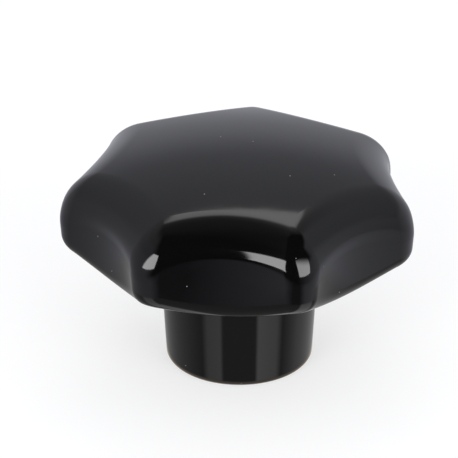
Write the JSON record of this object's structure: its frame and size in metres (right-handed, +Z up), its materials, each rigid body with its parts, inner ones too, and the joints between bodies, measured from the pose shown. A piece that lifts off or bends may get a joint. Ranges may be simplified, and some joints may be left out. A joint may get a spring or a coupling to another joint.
{
  "type": "star knob",
  "caption": "Glossy black moulded star knob with a domed top, shallow finger flutes, a round tapered hub and a brass bush with a blind tapped hole, for clamping by hand.",
  "frame": {"origin": "centre of the hub's end face, on the axis of the tapped hole", "axes": "+Z runs up the axis from the hub's end face to the crown of the dome, -Y passes through the middle of one finger flute, and +X is to the right of that flute"},
  "size_m": [0.0616, 0.0603, 0.0405],
  "materials": {
    "phenolic": "polished black phenolic moulding, high gloss",
    "brass_bush": "turned brass, lightly tarnished"
  },
  "bodies": {
    "root": {"knob_body": "phenolic", "threaded_bush": "brass_bush"}
  },
  "joints": []
}
